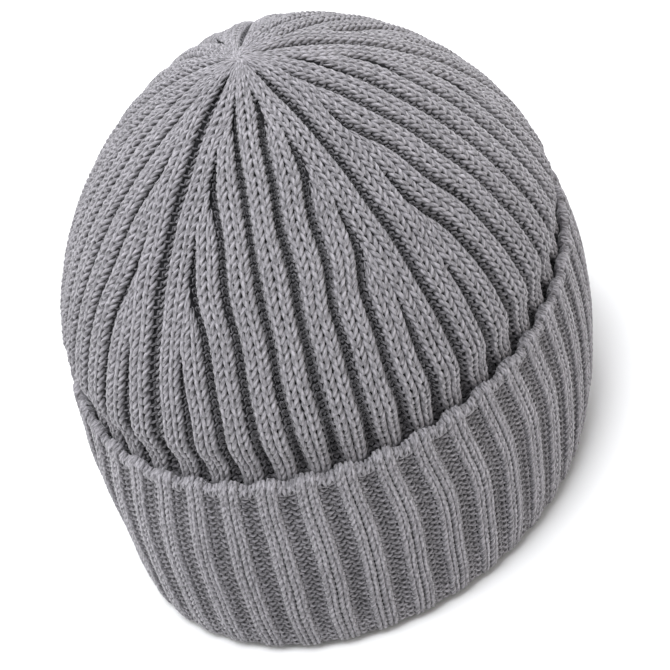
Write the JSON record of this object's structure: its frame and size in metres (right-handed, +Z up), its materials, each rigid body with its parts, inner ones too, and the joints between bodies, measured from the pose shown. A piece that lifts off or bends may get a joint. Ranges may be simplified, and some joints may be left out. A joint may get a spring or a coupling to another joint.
{
  "type": "ribbed knit beanie",
  "caption": "Round close-fitting knitted cap in a vertical rib, with wedge shaping to a gathered top and a deep turned-up cuff.",
  "frame": {"origin": "centre of the hat's footprint, on the underside of the cuff's turned fold", "axes": "+Z up through the crown, the forehead faces -Y, the wearer's left is +X"},
  "size_m": [0.1768, 0.211, 0.1915],
  "materials": {
    "crown_knit": "heather grey two-by-two rib in soft plied yarn",
    "cuff_knit": "heather grey two-by-two rib in soft plied yarn, turned up",
    "sewing_yarn": "the same grey yarn, pulled tight"
  },
  "bodies": {
    "root": {"crown_wedge_back_right": "crown_knit", "crown_wedge_right": "crown_knit", "crown_wedge_front": "crown_knit", "crown_wedge_left": "crown_knit", "crown_wedge_back_left": "crown_knit", "crown_gather": "crown_knit", "inner_band": "crown_knit", "turned_fold": "cuff_knit", "cuff": "cuff_knit", "cuff_edge": "cuff_knit", "closing_yarn": "sewing_yarn", "closing_knot": "sewing_yarn", "back_seam": "sewing_yarn", "cuff_seam": "sewing_yarn"}
  },
  "joints": []
}
